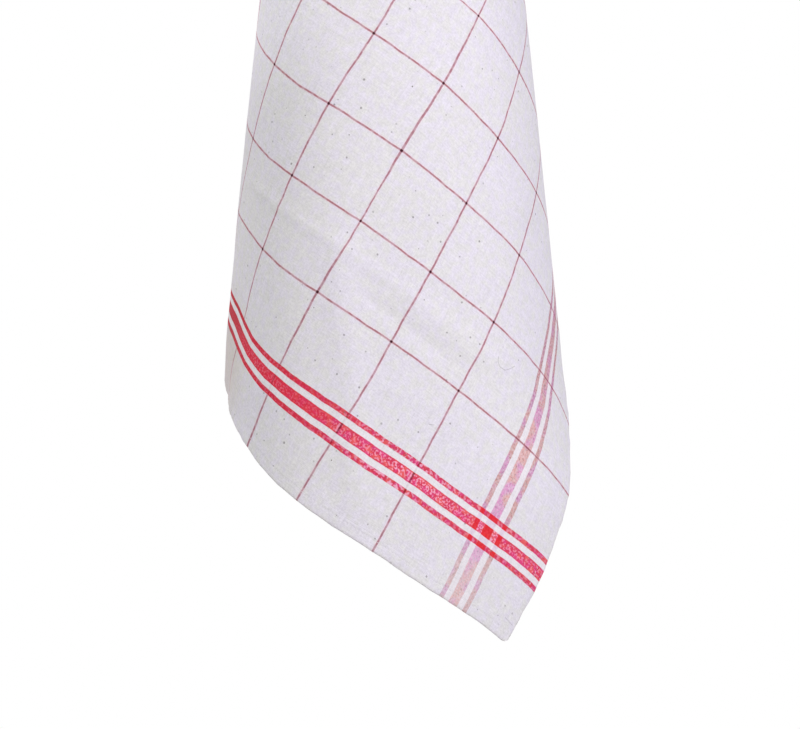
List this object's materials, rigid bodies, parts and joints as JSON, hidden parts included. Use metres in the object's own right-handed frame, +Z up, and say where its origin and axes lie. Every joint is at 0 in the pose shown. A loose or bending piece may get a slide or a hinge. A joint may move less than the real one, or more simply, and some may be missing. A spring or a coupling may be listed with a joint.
{
  "type": "tea towel",
  "caption": "Woven cotton tea towel with a windowpane check and striped borders, hanging on the bias from one corner with its sides wrapped behind.",
  "frame": {"origin": "the held upper corner of the cloth", "axes": "+Z up, -Y towards the viewer of the cloth's face, +X to the right of the face"},
  "size_m": [0.27, 0.2455, 0.9312],
  "materials": {
    "cotton": "plain weave cotton, off-white, with a fine red check and red and pink border stripes"
  },
  "bodies": {
    "root": {"towel": "cotton"}
  },
  "joints": []
}
